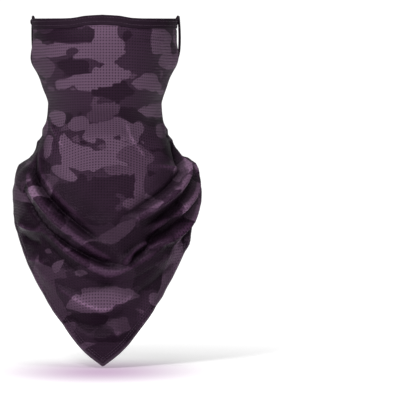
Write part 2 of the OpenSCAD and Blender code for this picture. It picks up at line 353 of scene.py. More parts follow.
def fold_height(fold, turn, z):
    """How far one fold raises or sinks each place."""
    height, above, below, line = fold
    line = line * [MM_PER_DEGREE, 1]
    ahead = np.gradient(line, axis=0)
    ahead /= np.linalg.norm(ahead, axis=1, keepdims=True)
    side = np.stack([-ahead[:, 1], ahead[:, 0]], 1)
    side *= np.sign(side[:, 1:2] + 1e-9)
    place = np.stack([turn * MM_PER_DEGREE, z], -1)
    reach = 4 * max(above, below)
    low, high = line.min(0) - reach, line.max(0) + reach
    near = np.all((place > low) & (place < high), axis=-1)
    result = np.zeros(near.shape)
    if not near.any():
        return result
    place = place[near]
    gap = place[:, None, :] - line[None]
    nearest = (gap**2).sum(-1).argmin(1)
    offset = gap[np.arange(len(place)), nearest]
    out = (offset * side[nearest]).sum(1)
    beyond = np.abs((offset * ahead[nearest]).sum(1))
    at = nearest / (len(line) - 1)
    ends = smooth(at, 0, FOLD_ENDS) * smooth(1 - at, 0, FOLD_ENDS)
    width = np.where(out > 0, above, below)
    profile = np.exp(-(np.abs(out) / width) ** FOLD_SHARPNESS)
    result[near] = height * ends * profile * np.exp(-beyond / FOLD_BEYOND)
    return result


LATTICE_SIZE = 64
LATTICE = np.random.RandomState(7).rand(LATTICE_SIZE, LATTICE_SIZE)


def wander(x, y):
    """Smooth noise from -1 to 1 with a cell of one unit."""
    i, j = np.floor(x).astype(int), np.floor(y).astype(int)
    u, v = smooth(x - i, 0, 1), smooth(y - j, 0, 1)
    here_i, here_j = i % LATTICE_SIZE, j % LATTICE_SIZE
    next_i, next_j = (i + 1) % LATTICE_SIZE, (j + 1) % LATTICE_SIZE
    a, b = LATTICE[here_i, here_j], LATTICE[next_i, here_j]
    c, d = LATTICE[here_i, next_j], LATTICE[next_i, next_j]
    return 2 * ((a * (1 - u) + b * u) * (1 - v) + (c * (1 - u) + d * u) * v) - 1


def fine_waves(s, z):
    """Small uneven waves. The numbers added inside wander only pick another part of the noise."""
    long, high = BROAD_WAVES
    broad = wander((s + z) / long + 9, (z - s * WAVE_LEAN) / high)
    long, high = SMALL_WAVES
    return broad + 0.5 * wander((s - z) / long, z / high + 5)


def relief(turn, z):
    """How far the cloth stands out of the smooth body."""
    shape = np.broadcast(turn, z).shape
    turn, z = np.broadcast_to(turn, shape), np.broadcast_to(z, shape)
    wrapped = (turn + 180) % 360 - 180
    from_nose = np.abs(wrapped)
    height = FOLD_GAIN * sum(fold_height(fold, wrapped, z) for fold in FOLDS)
    bow = BOW_OUT * hump(z, BOW_Z, SIDE_REACH) * smooth(from_nose, *BOW_TURNS)
    bow -= NECK_IN * hump(z, NECK_Z, SIDE_REACH) * smooth(from_nose, *NECK_TURNS)
    height = height + bow * (1 - smooth(from_nose, *SIDE_FADE))
    slack = smooth(-z, *SLACK_DEPTHS)
    s = wrapped * MM_PER_DEGREE
    waves = fine_waves(s, z) * (WAVES_TAUT + WAVES_SLACK * slack)
    height = height + waves * smooth(180 - from_nose, 0, SEAM_CALM)
    hem = z - hem_z(wrapped)
    puckers = PUCKER_RISE * wander(s / PUCKER_SIZE[0], hem / PUCKER_SIZE[1] + 3)
    puckers = puckers * (1 - smooth(hem, *PUCKER_DEPTHS))
    groove = -GROOVE_DEPTH * hump(hem, HEM_STITCH, GROOVE_HALF)
    flattened = HEM_FOLD_SHARE + (1 - HEM_FOLD_SHARE) * smooth(hem, 0, HEM_FLATTENS)
    return height * flattened + puckers + groove


def draped(turn, z):
    """A point of the cloth's middle surface, with its folds."""
    turn, z = np.broadcast_arrays(np.asarray(turn, float), np.asarray(z, float))
    height = relief(turn, z)
    point = body_point(turn, z) + normals_of(body_point, turn, z) * height[..., None]
    above_hem = z - hem_z((turn + 180) % 360 - 180)
    lean = DROOP * np.clip(height, 0, None)
    point[..., 2] -= lean * smooth(-z, *DROOP_DEPTHS) * smooth(above_hem, 0, DROOP_FROM_HEM)
    return point


def over_cloth(turn, z, lift):
    """Points a lift out of the cloth's middle surface, and the outward direction at each."""
    turn, z = np.asarray(turn, float), np.asarray(z, float)
    normal = normals_of(draped, turn, z)
    return draped(turn, z) + normal * lift, normal


# --- Meshes ---------------------------------------------------------------------------------


def make_object(name, points, faces, uv=None, values=None):
    """A smooth-shaded object from millimetre points, with a UV pair and named numbers per point."""
    mesh = bpy.data.meshes.new(name)
    mesh.from_pydata((np.asarray(points) * MM).tolist(), [], [list(face) for face in faces])
    mesh.polygons.foreach_set("use_smooth", [True] * len(mesh.polygons))
    corners = np.empty(len(mesh.loops), int)
    mesh.loops.foreach_get("vertex_index", corners)
    if uv is not None:
        layer = mesh.uv_layers.new(name="flat")
        layer.data.foreach_set("uv", np.asarray(uv, float)[corners].ravel())
    for key, numbers in (values or {}).items():
        attribute = mesh.attributes.new(key, "FLOAT", "POINT")
        attribute.data.foreach_set("value", np.asarray(numbers, float).ravel())
    mesh.update()
    obj = bpy.data.objects.new(name, mesh)
    bpy.context.collection.objects.link(obj)
    return obj


def grid_faces(rows, columns, wrap=False, start=0):
    """Quads over a grid of points numbered row by row; with wrap, the last column meets the first."""
    i = np.arange(rows - 1)[:, None]
    j = np.arange(columns if wrap else columns - 1)[None]
    k = (j + 1) % columns
    quads = np.stack([i * columns + j, i * columns + k, (i + 1) * columns + k, (i + 1) * columns + j], -1)
    return quads.reshape(-1, 4) + start


def tube(rings, along, around, caps=True):
    """Points, faces and UVs of a skin over rings of equal size: n rings of m points."""
    n, m = rings.shape[:2]
    faces = grid_faces(n, m, wrap=True)[:, ::-1].tolist()
    if caps:
        faces.append(list(range(m)))
        faces.append(list(range((n - 1) * m, n * m))[::-1])
    uv = np.stack([np.repeat(along, m), np.tile(around, n)], -1)
    return rings.reshape(-1, 3), faces, uv


def join_parts(parts):
    """One set of points, faces and UVs from several."""
    points, faces, uvs, start = [], [], [], 0
    for part_points, part_faces, part_uv in parts:
        points.append(part_points)
        uvs.append(part_uv)
        faces.extend([[corner + start for corner in face] for face in part_faces])
        start += len(part_points)
    return np.vstack(points), faces, np.vstack(uvs)


def unit(vectors):
    """The same directions with length 1."""
    return vectors / np.linalg.norm(vectors, axis=-1, keepdims=True)


def lengths(points):
    """Distance along a line of points, at each point."""
    steps = np.linalg.norm(np.diff(points, axis=0), axis=1)
    return np.concatenate([[0], np.cumsum(steps)])


# --- Materials ------------------------------------------------------------------------------


class Nodes:
    """A short way to write a material's node tree."""

    def __init__(self, name):
        self.material = bpy.data.materials.new(name)
        self.material.use_nodes = True
        self.tree = self.material.node_tree
        self.shader = self.tree.nodes["Principled BSDF"]

    def add(self, kind, *inputs, output=0, **settings):
        """A node whose inputs, in order, are numbers, sockets or None; returns one of its outputs."""
        node = self.tree.nodes.new(kind)
        for key, value in settings.items():
            setattr(node, key, value)
        for index, value in enumerate(inputs):
            self.put(node.inputs[index], value)
        return node.outputs[output]

    def put(self, socket, value):
        if isinstance(value, bpy.types.NodeSocket):
            self.tree.links.new(value, socket)
        elif value is not None:
            socket.default_value = value

    def math(self, operation, *inputs):
        return self.add("ShaderNodeMath", *inputs, operation=operation)

    def times(self, a, b):
        return self.math("MULTIPLY", a, b)

    def plus(self, a, b):
        return self.math("ADD", a, b)

    def wave(self, where, pitch):
        """A sine that repeats every pitch millimetres."""
        return self.math("SINE", self.times(where, 2 * math.pi / pitch))

    def span(self, value, low, high, out_low=0.0, out_high=1.0):
        """value taken smoothly from one range to another, and held at its ends."""
        return self.add("ShaderNodeMapRange", value, low, high, out_low, out_high,
                        interpolation_type="SMOOTHSTEP")

    def noise(self, where, scale, detail=2.0, roughness=0.5):
        node = self.tree.nodes.new("ShaderNodeTexNoise")
        self.put(node.inputs["Vector"], where)
        node.inputs["Scale"].default_value = scale
        node.inputs["Detail"].default_value = detail
        node.inputs["Roughness"].default_value = roughness
        return node.outputs[0]

    def mix(self, share, a, b, blend="MIX"):
        node = self.tree.nodes.new("ShaderNodeMix")
        node.data_type = "RGBA"
        node.blend_type = blend
        for index, value in ((0, share), (6, a), (7, b)):
            self.put(node.inputs[index], value)
        return node.outputs[2]

    def value(self, name):
        return self.add("ShaderNodeAttribute", attribute_name=name, output=2)

    def flat(self):
        """The cloth's or tape's own millimetres: along and across, as two sockets, and both as one."""
        uv = self.add("ShaderNodeUVMap", uv_map="flat")
        parts = self.tree.nodes.new("ShaderNodeSeparateXYZ")
        self.put(parts.inputs[0], uv)
        return parts.outputs[0], parts.outputs[1], uv

    def bump(self, height, distance, strength=1.0):
        node = self.tree.nodes.new("ShaderNodeBump")
        node.inputs["Strength"].default_value = strength
        node.inputs["Distance"].default_value = distance
        self.put(node.inputs["Height"], height)
        self.put(self.shader.inputs["Normal"], node.outputs[0])

    def finish(self, colour, roughness, sheen, sheen_roughness=0.4, specular=0.4):
        self.put(self.shader.inputs["Base Color"], colour)
        self.put(self.shader.inputs["Roughness"], roughness)
        self.shader.inputs["Sheen Weight"].default_value = sheen
        self.shader.inputs["Sheen Roughness"].default_value = sheen_roughness
        self.shader.inputs["Specular IOR Level"].default_value = specular
        self.shader.inputs["Specular Tint"].default_value = (0.85, 0.6, 0.84, 1)
        return self.material


def linear(red, green, blue):
    """A colour given in display numbers from 0 to 255."""
    parts = [c / 255 for c in (red, green, blue)]
    parts = [p / 12.92 if p < 0.04045 else ((p + 0.055) / 1.055) ** 2.4 for p in parts]
    return (*parts, 1.0)


# The four inks of the print, dark to light
INKS = [linear(38, 22, 37), linear(56, 38, 55), linear(80, 59, 78), linear(99, 76, 97)]
# How much of its own noise each overprinted ink needs before it shows
DARK_LEVEL = 0.56
MIDDLE_LEVEL = 0.57
LIGHT_LEVEL = 0.60
# How much darker the print is where the cloth is slack and its knit closes up
SLACK_SHADE = 0.55
# Painted highlight and painted shade: crests are painted paler and hollows darker, so the folds look lit
# and shaded
CREST_PAINTED_HIGHLIGHT = 2.9
HOLLOW_PAINTED_SHADE = 0.42
MESH_PITCH = 3.1
RIB_PITCH = 1.55


# The usual length and height of a blob, and how soft its edge is
BLOB_LENGTH = 54
BLOB_HEIGHT = 27
INK_EDGE = 0.007
# A hole's edge starts and ends at these shares of the mesh's pitch from its middle
HOLE_EDGE = (0.17, 0.32)


def ink_layer(nodes, uv, shift, push, level, wobble):
    """Where one ink lies: blobs wider than they are tall, with crisp edges."""
    size = nodes.add("ShaderNodeVectorMath", uv, (1 / BLOB_LENGTH, 1 / BLOB_HEIGHT, 0),
                     operation="MULTIPLY")
    place = nodes.add("ShaderNodeVectorMath", size, shift, operation="ADD")
    field = nodes.plus(nodes.noise(place, 1.0, detail=1.3, roughness=0.4), wobble)
    field = nodes.plus(field, push)
    return nodes.span(field, level - INK_EDGE, level + INK_EDGE)


def camo_mesh_material():
    """Printed mesh knit: four inks over ribs and holes, with a painted highlight on crests and painted
    shade in hollows.
    """
    nodes = Nodes("camo_mesh_knit")
    across, down, uv = nodes.flat()
    rough_edge = nodes.noise(uv, 1 / 14, detail=0.6)
    wobble = nodes.times(nodes.math("SUBTRACT", rough_edge, 0.5), 0.15)
    middle = ink_layer(nodes, uv, (3.3, 1.7, 0), nodes.value("middle_push"), MIDDLE_LEVEL, wobble)
    light = ink_layer(nodes, uv, (9.1, 5.2, 0), nodes.value("light_push"), LIGHT_LEVEL, wobble)
    dark = ink_layer(nodes, uv, (5.9, 8.4, 0), nodes.value("dark_push"), DARK_LEVEL, wobble)
    ink = nodes.mix(middle, INKS[1], INKS[2])
    ink = nodes.mix(dark, ink, INKS[0])
    ink = nodes.mix(light, ink, INKS[3])
    # perforations in a square grid
    cell_x = nodes.math("SUBTRACT", nodes.math("FRACT", nodes.math("DIVIDE", across, MESH_PITCH)), 0.5)
    cell_y = nodes.math("SUBTRACT", nodes.math("FRACT", nodes.math("DIVIDE", down, MESH_PITCH)), 0.5)
    squares = nodes.plus(nodes.math("POWER", nodes.math("ABSOLUTE", cell_x), 2.0),
                         nodes.math("POWER", nodes.math("ABSOLUTE", cell_y), 2.0))
    solid = nodes.span(nodes.math("SQRT", squares), *HOLE_EDGE)
    # knit ribs across the panel and loops along them
    rib = nodes.wave(down, RIB_PITCH)
    loop = nodes.wave(across, RIB_PITCH / 1.5)
    knit = nodes.plus(nodes.times(rib, 0.5), nodes.times(loop, 0.25))
    knit = nodes.plus(knit, 0.75)
    heather = nodes.noise(uv, 0.9, detail=3.0, roughness=0.7)
    shade = nodes.times(nodes.span(heather, 0.3, 0.7, 0.88, 1.1),
                       nodes.span(knit, 0.0, 1.5, 0.86, 1.06))
    taut = nodes.value("taut")
    hole = nodes.times(nodes.math("SUBTRACT", 1.0, solid), nodes.span(taut, 0.0, 1.0, 0.3, 0.75))
    shade = nodes.times(shade, nodes.math("SUBTRACT", 1.0, hole))
    shade = nodes.times(shade, nodes.span(taut, 0.0, 1.0, SLACK_SHADE, 1.0))
    # painted highlight on crests and painted shade in hollows, multiplied into the print
    shade = nodes.times(shade, nodes.span(nodes.value("crest"), 0.0, 1.0, 1.0, CREST_PAINTED_HIGHLIGHT))
    shade = nodes.times(shade, nodes.span(nodes.value("hollow"), 0.0, 1.0, 1.0, HOLLOW_PAINTED_SHADE))
    grey = nodes.add("ShaderNodeCombineColor", shade, shade, shade)
    colour = nodes.mix(1.0, ink, grey, "MULTIPLY")
    # the print shows through paler inside, and rubs paler on the folded hem
    faded = nodes.mix(0.45, colour, linear(120, 98, 117))
    colour = nodes.mix(nodes.value("inside"), colour, faded)
    rubbed = nodes.mix(0.16, colour, linear(170, 150, 168))
    colour = nodes.mix(nodes.value("wear"), colour, rubbed)
    rough = nodes.plus(nodes.span(heather, 0.2, 0.8, 0.32, 0.40), nodes.times(taut, 0.18))
    surface = nodes.plus(nodes.times(knit, 0.4), solid)
    nodes.bump(surface, 0.0005, 0.7)
    return nodes.finish(colour, rough, 0.0, 0.35, 0.13)


def tape_material(name, base, light):
    """Folded knitted tape: fine cross ribs, fuzz, a soft sheen and some patches a little paler."""
    nodes = Nodes(name)
    along, across, uv = nodes.flat()
    rib = nodes.wave(along, 0.9)
    wale = nodes.wave(across, 0.65)
    knit = nodes.plus(nodes.times(rib, 0.6), nodes.times(wale, 0.4))
    fuzz = nodes.noise(uv, 1.4, detail=3.0, roughness=0.7)
    patch = nodes.noise(uv, 0.08, detail=2.0)
    amount = nodes.plus(nodes.times(nodes.span(knit, -1.0, 1.0), 0.35),
                        nodes.times(nodes.span(fuzz, 0.3, 0.7), 0.4))
    amount = nodes.times(amount, nodes.span(patch, 0.3, 0.7, 0.7, 1.2))
    colour = nodes.mix(amount, base, light)
    nodes.bump(nodes.plus(nodes.times(knit, 0.5), fuzz), 0.00022, 0.8)
    return nodes.finish(colour, nodes.span(fuzz, 0.2, 0.8, 0.55, 0.75), 0.0, 0.4, 0.15)


def thread_material():
    """Two-ply polyester thread: a twist along its length and a slight gloss."""
    nodes = Nodes("sewing_thread")
    along, across, uv = nodes.flat()
    ply = nodes.math("SINE", nodes.plus(nodes.times(along, 9.0),
                                        nodes.times(across, 4.0)))
    fuzz = nodes.noise(uv, 2.5, detail=2.0)
    colour = nodes.mix(nodes.span(ply, -1.0, 1.0, 0.15, 0.9), linear(36, 23, 36), linear(74, 56, 73))
    nodes.bump(ply, 0.00008, 0.8)
    return nodes.finish(colour, nodes.span(fuzz, 0.2, 0.8, 0.38, 0.55), 0.03, 0.4, 0.5)


def elastic_material():
    """The flat elastic inside each strap: dark lengthways cords under a woven cover."""
    nodes = Nodes("elastic")
    along, across, uv = nodes.flat()
    cord = nodes.wave(across, 0.8)
    weave = nodes.wave(along, 0.7)
    shade = nodes.plus(nodes.times(cord, 0.6), nodes.times(weave, 0.4))
    colour = nodes.mix(nodes.span(shade, -1.0, 1.0), linear(20, 16, 20), linear(46, 38, 46))
    nodes.bump(shade, 0.0001, 0.8)
    return nodes.finish(colour, nodes.span(shade, -1.0, 1.0, 0.6, 0.75), 0.1, 0.5, 0.3)


camo_mesh = camo_mesh_material()
binding_tape = tape_material("binding_tape", linear(23, 12, 22), linear(42, 28, 41))
strap_tape = tape_material("strap_tape", linear(16, 8, 15), linear(34, 22, 33))
thread = thread_material()
elastic = elastic_material()


def keep(obj, body, material, slot, *nodes):
    """Gives a finished piece its material, its body and the CAD nodes that it replaces, which are hidden.
    The slot is not used.
    """
    obj.data.materials.append(material)
    if body is not None:
        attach(obj, body)
    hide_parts(*nodes)
    return obj


# --- The fabric panel -----------------------------------------------------------------------

CLOTH_T = 0.8
FRONT_TURN = 78
FRONT_STEP = 0.95
BACK_STEP = 2.5
PANEL_ROWS = 186
# Rows lie this much further apart on the face than below the chin
FACE_SPREAD = 1.9
CHIN_Z = -118
# The hem depths over which that difference comes in
SPREAD_FROM = (168, 300)

# How far in from the hem's fold the print is rubbed
WEAR_DEPTHS = (0.5, 3.0)

# Large patches on the front, mostly of the print: ink, millimetres to the wearer's left of the nose line,
# height, half width, half height and tilt in degrees. Four dark ones are painted shade, in the pocket
# under the chin and at the foot of the taut face panel. The rest of the print is noise.
PRINT_AND_SHADE_PATCHES = [
    ("light", -25, -37, 46, 8, -4), ("light", 8, -26, 17, 14, 0), ("light", 62, -28, 9, 14, 0),
    ("light", 64, -46, 7, 8, 0), ("light", -14, -68, 38, 9, 6), ("light", 20, -61, 11, 4, 0),
    ("light", 46, -68, 12, 10, 0), ("light", -47, -106, 8, 8, 0), ("light", -25, -113, 9, 6, 0),
    ("light", 10, -119, 24, 14, 20), ("light", -20, -150, 25, 11, -5), ("light", -41, -166, 13, 6, -30),
    ("light", -40, -143, 6, 14, 0), ("light", -57, -140, 5, 14, 0), ("light", 52, -100, 14, 8, 0),
    ("light", 33, -121, 5, 12, -20), ("light", 60, -124, 5, 8, 0), ("light", -4, -299, 28, 11, 8),
    ("light", -22, -270, 11, 4, 0), ("light", 72, -270, 7, 42, -13), ("middle", -54, -290, 7, 28, 22),
    ("middle", 33, -147, 15, 7, 0), ("middle", 15, -164, 18, 5, 0), ("middle", 39, -180, 6, 18, 0),
    ("middle", 28, -198, 10, 6, 0), ("middle", 2, -98, 16, 14, 0), ("middle", -57, -55, 10, 8, 0),
    ("middle", 89, -188, 6, 18, 0), ("middle", 15, -323, 18, 9, 0), ("middle", 20, -226, 18, 6, 30),
    ("dark", -38, -21, 30, 8, 0), ("dark", -28, -53, 20, 9, 0), ("dark", 12, -79, 18, 13, 0),
    # painted shade: the dark patches at 55, -230, at -10, -197, at 28, -250 and at 47, -264 sit where
    # shade falls
    ("dark", 20, -177, 14, 13, 0), ("dark", -12, -320, 26, 8, 0), ("dark", 55, -230, 30, 20, 0),
    ("dark", -62, -225, 28, 18, 0), ("base", 36, -31, 12, 20, 0), ("base", -36, -90, 24, 12, 0),
    ("base", -51, -145, 10, 13, 0), ("dark", -10, -197, 40, 22, 0), ("base", 38, -90, 20, 7, 0),
    ("base", 28, -48, 12, 8, 0), ("base", 6, -272, 30, 12, 0),
    # painted shade in the pocket under the chin
    ("dark", 28, -250, 20, 10, 0), ("dark", 47, -264, 19, 22, 0),
]
PATCH_PUSH = 0.34
# How ragged a patch's edge is, as a share of its size
PATCH_RAGGED = 0.48
PATCH_CELL = 15
# Where in its size a patch's edge starts and ends, and the turns over which patches give way to noise
PATCH_EDGE = (0.55, 1.45)
PATCH_TURNS = (70, 92)


def patch_pushes(turn, z):
    """How far the patches push each ink at each place. The nearest patch decides."""
    across = body_point(turn, z)[..., 0]
    large = wander(across / PATCH_CELL + 3, z / PATCH_CELL)
    ragged = PATCH_RAGGED * (large + 0.6 * wander(across / PATCH_CELL * 2, z / PATCH_CELL * 2 + 7))
    in_front = 1 - smooth(np.abs(turn), *PATCH_TURNS)
    strongest = np.zeros(across.shape)
    pushes = {ink: strongest.copy() for ink in ("light", "middle", "dark")}
    for ink, at_x, at_z, wide, tall, tilt in PRINT_AND_SHADE_PATCHES:
        x, y = across - at_x, z - at_z
        c, s = math.cos(math.radians(tilt)), math.sin(math.radians(tilt))
        away = np.sqrt(((x * c + y * s) / wide) ** 2 + ((y * c - x * s) / tall) ** 2)
        share = (1 - smooth(away + ragged, *PATCH_EDGE)) * in_front
        wins = share > strongest
        strongest = np.where(wins, share, strongest)
        for each, push in pushes.items():
            sign = 1 if each == ink else -1
            pushes[each] = np.where(wins, PATCH_PUSH * share * sign, push)
    return pushes


# Where the taut face panel ends: a V hung from a turn at each side of the neck
TAUT_SIDES = (-62, 62)
TAUT_LOWEST = (8, -224)
TAUT_ROUNDNESS = 1.2
TAUT_BEHIND = -130
# How far below and above that edge the cloth turns from slack to taut
TAUT_BELOW = 6
TAUT_ABOVE = 30
# Behind these turns the cloth is pulled round the neck
TAUT_ROUND_NECK = (90, 122)
# Where the cloth is stretched again lower down: turn, height, half width, half height
TAUT_AGAIN = [(-3, -299, 34, 13), (55, -240, 16, 44), (30, -318, 12, 26), (-46, -290, 9, 34)]


def tautness(turn, z):
    """1 where the cloth is stretched, which opens its holes and pales it, and 0 where it is slack."""
    side = np.where(turn < TAUT_LOWEST[0], *TAUT_SIDES)
    share = np.clip((turn - TAUT_LOWEST[0]) / (side - TAUT_LOWEST[0]), 0, 1) ** TAUT_ROUNDNESS
    edge = TAUT_LOWEST[1] + (TAUT_BEHIND - TAUT_LOWEST[1]) * share
    taut = smooth(z, edge - TAUT_BELOW, edge + TAUT_ABOVE)
    taut = np.maximum(taut, smooth(np.abs(turn), *TAUT_ROUND_NECK))
    for at_turn, at_z, wide, tall in TAUT_AGAIN:
        away = np.hypot((turn - at_turn) * MM_PER_DEGREE / wide, (z - at_z) / tall)
        taut = np.maximum(taut, 0.75 * (1 - smooth(away, 0.5, 1.3)))
    return taut


# How far off, and in how many places, the cloth is compared with itself to find crests and hollows, which
# the print's painted highlight and painted shade follow
CREST_SPAN = 6.0
CREST_PLACES = 6
# The rise of a full crest, how sharply it starts, and the fall of a full hollow
CREST_RISE = 2.0
CREST_CRISP = 2
HOLLOW_FALL = 2.2


def crests_and_hollows(turn, z):
    """Where the cloth stands out from the cloth round it, and where it lies deeper, from 0 to 1."""
    here = relief(turn, z)
    round_it = np.zeros(here.shape)
    for k in range(CREST_PLACES):
        angle = math.radians(360 / CREST_PLACES * k)
        step = CREST_SPAN * math.cos(angle) / MM_PER_DEGREE
        round_it += relief(turn + step, z + CREST_SPAN * math.sin(angle)) / CREST_PLACES
    rise = here - round_it
    crest = np.clip(rise / CREST_RISE, 0, 1) ** CREST_CRISP
    return crest, np.clip(-rise / HOLLOW_FALL, 0, 1)


def panel_columns():
    """Turns of the panel's points: close together in front, wider behind."""
    front = np.linspace(-FRONT_TURN, FRONT_TURN, int(2 * FRONT_TURN / FRONT_STEP) + 1)
    stops = [FRONT_TURN, CORNER_TURN, 106, 125, 180 - SEAM_GAP]
    back = [FRONT_TURN]
    for low, high in zip(stops, stops[1:]):
        count = max(2, round((high - low) / BACK_STEP))
        back.extend(np.linspace(low, high, count + 1)[1:])
    back = np.array(back[1:])
    return np.concatenate([-back[::-1], front, back])


def panel_rows(high, low):
    """Heights of the panel's points, row by row, for columns that run from high to low."""
    depth = np.linspace(0, 1, 400)
    rows = np.linspace(0, 1, PANEL_ROWS)
    columns = []
    for top, bottom in zip(high, low):
        z = top + (bottom - top) * depth
        effort = lengths(np.stack([z, np.zeros(len(z))], -1))
        spread = 1 + (FACE_SPREAD - 1) * smooth(-bottom, *SPREAD_FROM)
        density = np.where(z > CHIN_Z, 1 / spread, 1.0)
        effort = np.concatenate([[0], np.cumsum(np.diff(effort) * density[1:])])
        columns.append(np.interp(rows * effort[-1], effort, z))
    return np.array(columns).T


# Spacing in height, and count, of the rows that the flat layout is measured on
FLAT_STEP = 4
FLAT_ROWS = 94


def flat_place(turn, z):
    """Where a place of the cloth lies when it is flat: across from the nose line and down, in mm."""
    turns = np.linspace(-180, 180, 361)
    heights = np.linspace(0, -FLAT_STEP * (FLAT_ROWS - 1), FLAT_ROWS)
    body = body_point(*np.broadcast_arrays(turns[None], heights[:, None]))
    across = np.linalg.norm(np.diff(body, axis=1), axis=-1)
    across = np.concatenate([np.zeros((len(heights), 1)), np.cumsum(across, axis=1)], axis=1)
    across -= across[:, [180]]
    down = np.linalg.norm(np.diff(body, axis=0), axis=-1)
    down = np.concatenate([np.zeros((1, len(turns))), np.cumsum(down, axis=0)])
    row = np.clip(-z / FLAT_STEP, 0, len(heights) - 1.001)
    column = np.clip(turn + 180, 0, 359.999)
    i, j = row.astype(int), column.astype(int)
    p, q = row - i, column - j
    places = []
    for table in (across, down):
        upper = table[i, j] * (1 - q) + table[i, j + 1] * q
        lower = table[i + 1, j] * (1 - q) + table[i + 1, j + 1] * q
        places.append(upper * (1 - p) + lower * p)
    return places


def make_panel():
    """The cloth: an outer and an inner face joined by a rim, with the numbers that its print needs."""
    turns = panel_columns()
    zs = panel_rows(upper_z(turns), hem_z(turns))
    turn_grid = np.broadcast_to(turns, zs.shape)
    middle = draped(turn_grid, zs)
    across = np.gradient(middle, axis=1)
    down = np.gradient(middle, axis=0)
    normal = unit(np.cross(down, across))
    outside = middle + normal * CLOTH_T / 2
    inside = middle - normal * CLOTH_T / 2
    u, v = flat_place(turn_grid, zs)
    rows, columns = zs.shape
    count = rows * columns
    outer = grid_faces(rows, columns)[:, ::-1]
    inner = grid_faces(rows, columns, start=count)
    ring = np.concatenate([
        np.arange(columns), np.arange(1, rows) * columns + columns - 1,
        (rows - 1) * columns + np.arange(columns - 1)[::-1], np.arange(1, rows - 1)[::-1] * columns,
    ])
    following = np.roll(ring, -1)
    rim = np.stack([ring, following, following + count, ring + count], -1)
    uv = np.stack([u, v], -1).reshape(-1, 2)
    # crest and hollow carry the painted highlight and painted shade to the material
    crest, hollow = crests_and_hollows(turn_grid, zs)
    hem = zs - hem_z(turns)[None]
    numbers = {f"{ink}_push": push for ink, push in patch_pushes(turn_grid, zs).items()}
    numbers.update(taut=tautness(turn_grid, zs), crest=crest, hollow=hollow)
    numbers["wear"] = 1 - smooth(hem, *WEAR_DEPTHS)
    values = {name: np.tile(number.ravel(), 2) for name, number in numbers.items()}
    values["inside"] = np.repeat([0.0, 1.0], count)
    points = np.vstack([outside.reshape(-1, 3), inside.reshape(-1, 3)])
    faces = np.vstack([outer, inner, rim])
    return make_object("fabric_panel_cloth", points, faces, np.tile(uv, (2, 1)), values)


panel = keep(make_panel(), "mask", camo_mesh, "camo_mesh_knit", "fabric_panel")

# --- Edges ----------------------------------------------------------------------------------

class Edge:
    """An edge of the panel, evenly spaced: a place on the cloth a distance in from it, square to it."""

    def __init__(self, turns, height_at, side, spacing):
        rough = np.stack([turns, height_at(turns)], -1)
        along = lengths(draped(rough[:, 0], rough[:, 1]))
        self.length = along[-1]
        self.along = np.linspace(0, self.length, max(2, int(self.length / spacing)) + 1)
        self.line = np.stack([np.interp(self.along, along, rough[:, c]) for c in (0, 1)], -1)
        turn, z = self.line[:, 0], self.line[:, 1]
        per_turn = np.linalg.norm(body_point(turn + 0.5, z) - body_point(turn - 0.5, z), axis=-1)
        ahead = unit(np.gradient(self.line, axis=0) * np.stack([per_turn, np.ones(len(per_turn))], -1))
        self.inward = np.stack([side * ahead[:, 1] / per_turn, -side * ahead[:, 0]], -1)

    def place(self, along, distance, lift):
        """Points a distance in from the edge and a lift out of the cloth's middle surface."""
        along, distance, lift = np.broadcast_arrays(along, distance, lift)
        spot = [np.interp(along, self.along, self.line[:, c]) for c in (0, 1)]
        inward = [np.interp(along, self.along, self.inward[:, c]) for c in (0, 1)]
        turn = spot[0] + inward[0] * distance
        z = spot[1] + inward[1] * distance
        return over_cloth(turn, z, lift[..., None])[0]


def nape_height(turn):
    """The upper edge's height for turns that run on past 180."""
    return upper_z((turn + 180) % 360 - 180)


# Spacing of the sections along the bindings and along the hem
BINDING_STEP = 1.2
HEM_STEP = 1.5

top_edge = Edge(np.linspace(-CORNER_TURN, CORNER_TURN, 700), upper_z, 1, BINDING_STEP)
nape_edge = Edge(np.linspace(NAPE_START, 360 - NAPE_START, 900), nape_height, 1, BINDING_STEP)
hem_edge = Edge(np.linspace(-180 + SEAM_GAP, 180 - SEAM_GAP, 1500), hem_z, -1, HEM_STEP)

TAPE_T = 0.8
LAYER_GAP = 0.15
TOP_W = 9.5
NAPE_W = 7.0
HEM_W = 8.0
HEM_T = 0.8
# The stitch rows' distances in from each edge
TOP_ROWS = (2.2, 6.8)
NAPE_ROWS = (1.6, 5.2)
HEM_ROWS = (4.5, HEM_STITCH)

# How far a leg of tape swells, and how deep and wide a stitch row presses it in
TAPE_SWELL = 0.30
ROW_PRESS = 0.22
ROW_PRESS_HALF = 0.7
# The fold's round end: where the legs meet it, and how far it bulges past the cloth's edge
FOLD_START = 0.4
FOLD_BULGE = 0.75
# The cut ends of the tape stand out a little and are this share of its thickness
CUT_OUT = 0.28
CUT_SHARE = 0.55
TAPE_PUCKER = 0.10
TAPE_PUCKER_CELL = 4.2


